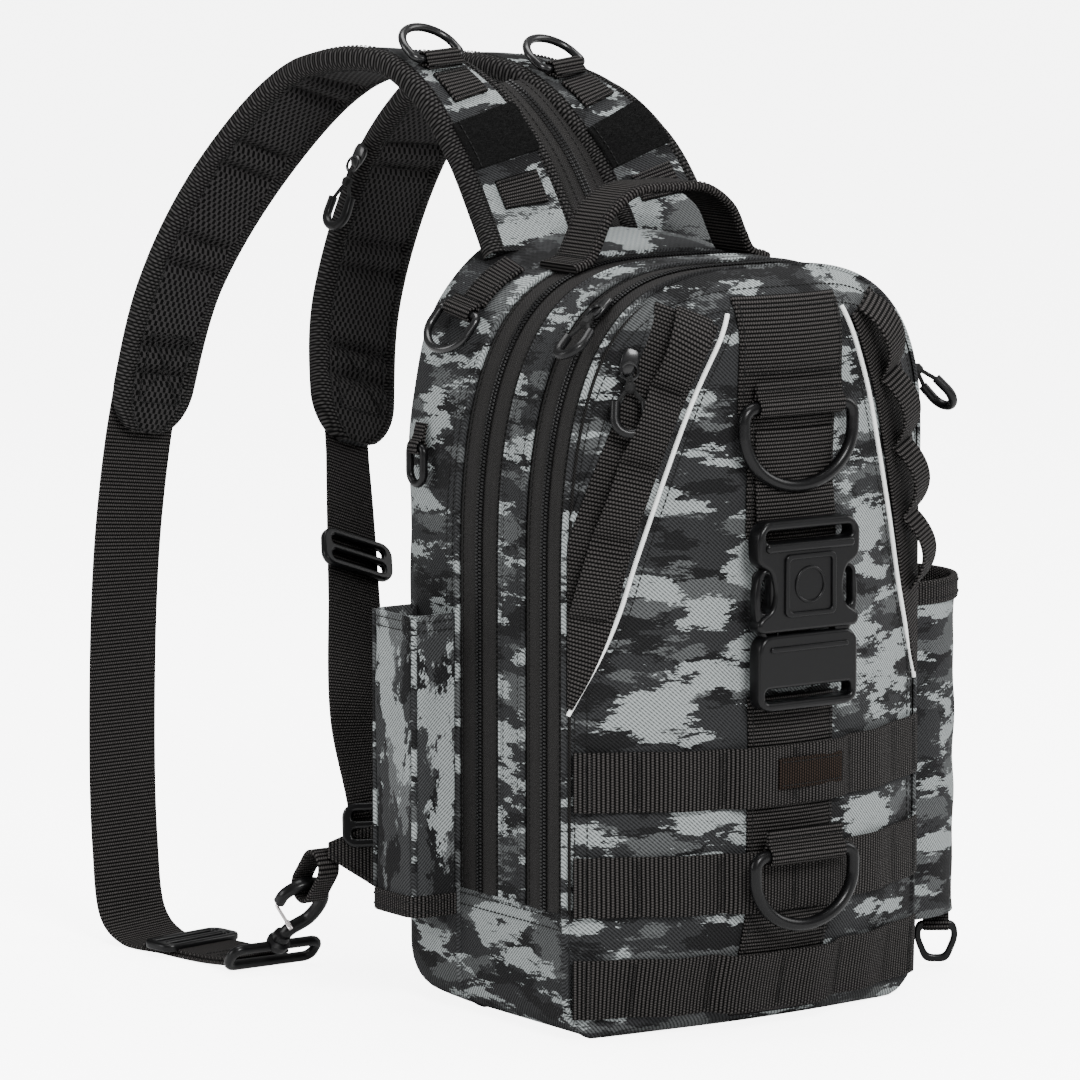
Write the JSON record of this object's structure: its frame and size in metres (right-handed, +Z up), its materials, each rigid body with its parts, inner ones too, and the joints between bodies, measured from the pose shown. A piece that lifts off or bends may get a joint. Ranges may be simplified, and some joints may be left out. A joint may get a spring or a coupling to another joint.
{
  "type": "fishing sling backpack",
  "caption": "Soft arched backpack with a bulging front pocket, webbing rows, D-rings, a front buckle, side pockets, a carry handle and two padded straps zipped together at the top.",
  "frame": {"origin": "on the underside of the base, midway across the bag, on the surface that it stands on", "axes": "+Z up, -Y out of the bag's front, +X to the bottle pocket's side"},
  "size_m": [0.3295, 0.398, 0.4736],
  "materials": {
    "camo": "woven twill with a grey camouflage print",
    "webbing": "ribbed black webbing",
    "mesh": "black air mesh over foam",
    "zip": "black zip tape with coil teeth",
    "plastic": "satin black moulded plastic",
    "pile": "black loop pile",
    "reflective": "pale reflective piping",
    "steel": "dark bright wire"
  },
  "bodies": {
    "root": {"rear_shell": "camo", "front_panel": "camo", "base_gusset": "camo", "gusset_strip": "camo", "rod_sleeve": "camo", "bottle_pocket": "camo", "front_zip": "zip", "main_zip": "zip", "strap_zip": "zip", "back_pad": "mesh", "strap_pad_outer": "mesh", "strap_pad_inner": "mesh", "pile_patch_outer": "pile", "pile_patch_inner": "pile", "piping_left": "reflective", "piping_right": "reflective", "buckle_socket": "plastic", "buckle_prong": "plastic", "glide_outer": "plastic", "glide_inner": "plastic", "snap_hook": "plastic", "rod_sleeve_hem": "webbing", "bottle_pocket_hem": "webbing", "centre_web_top": "webbing", "centre_web_mid": "webbing", "centre_web_low": "webbing", "molle_row_1": "webbing", "molle_row_2": "webbing", "molle_row_3": "webbing", "v_web_left": "webbing", "v_web_right": "webbing", "daisy_web_left": "webbing", "daisy_web_right": "webbing", "d_ring_upper_tab": "webbing", "d_ring_lower_tab": "webbing", "carry_handle": "webbing", "shoulder_web": "webbing", "d_ring_shoulder_tab": "webbing", "strap_loop_outer": "webbing", "strap_loop_inner": "webbing", "ring_band_outer": "webbing", "ring_band_inner": "webbing", "strap_ring_outer_tab": "webbing", "strap_ring_inner_tab": "webbing", "strap_web_outer": "webbing", "strap_web_inner": "webbing", "anchor_loop": "webbing", "corner_wing": "webbing", "base_ring_tab": "webbing", "rod_tie_tab": "webbing"},
    "d_ring_upper": {"d_ring_upper": "plastic"},
    "d_ring_lower": {"d_ring_lower": "plastic"},
    "d_ring_shoulder": {"d_ring_shoulder": "plastic"},
    "strap_ring_outer": {"strap_ring_outer": "plastic"},
    "strap_ring_inner": {"strap_ring_inner": "plastic"},
    "base_ring": {"base_ring": "plastic"},
    "rod_tie_ring": {"rod_tie_ring": "plastic"},
    "hook_gate": {"hook_gate": "steel"}
  },
  "joints": [
    {"name": "d_ring_upper_swing", "type": "hinge", "parent": "root", "child": "d_ring_upper", "pos_m": [0, -0.12874, 0.303], "axis": [-1, 0, 0], "range_deg": [0, 120]},
    {"name": "d_ring_lower_swing", "type": "hinge", "parent": "root", "child": "d_ring_lower", "pos_m": [0, -0.1352, 0.089], "axis": [-1, 0, 0], "range_deg": [0, 120]},
    {"name": "d_ring_shoulder_swing", "type": "hinge", "parent": "root", "child": "d_ring_shoulder", "pos_m": [-0.09341, 0.01823, 0.34069], "axis": [-0.0298, 0.9866, 0.1607], "range_deg": [0, 110]},
    {"name": "strap_ring_outer_swing", "type": "hinge", "parent": "root", "child": "strap_ring_outer", "pos_m": [-0.05938, 0.0865, 0.45781], "axis": [0.9672, 0.2523, 0.0299], "range_deg": [0, 110]},
    {"name": "strap_ring_inner_swing", "type": "hinge", "parent": "root", "child": "strap_ring_inner", "pos_m": [0.01549, 0.08696, 0.45033], "axis": [0.9393, 0.339, 0.0529], "range_deg": [0, 110]},
    {"name": "base_ring_swing", "type": "hinge", "parent": "root", "child": "base_ring", "pos_m": [0.15, -0.046, 0.023], "axis": [0.8192, -0.5736, 0], "range_deg": [-75, 75]},
    {"name": "rod_tie_ring_swing", "type": "hinge", "parent": "root", "child": "rod_tie_ring", "pos_m": [-0.1085, 0.034, 0.274], "axis": [0, 1, 0], "range_deg": [0, 110]},
    {"name": "hook_gate_press", "type": "hinge", "parent": "root", "child": "hook_gate", "pos_m": [-0.1241, 0.12631, 0.02532], "axis": [0, 0.766, 0.6428], "range_deg": [0, 22], "stiffness_Nm_per_rad": 0.05}
  ]
}
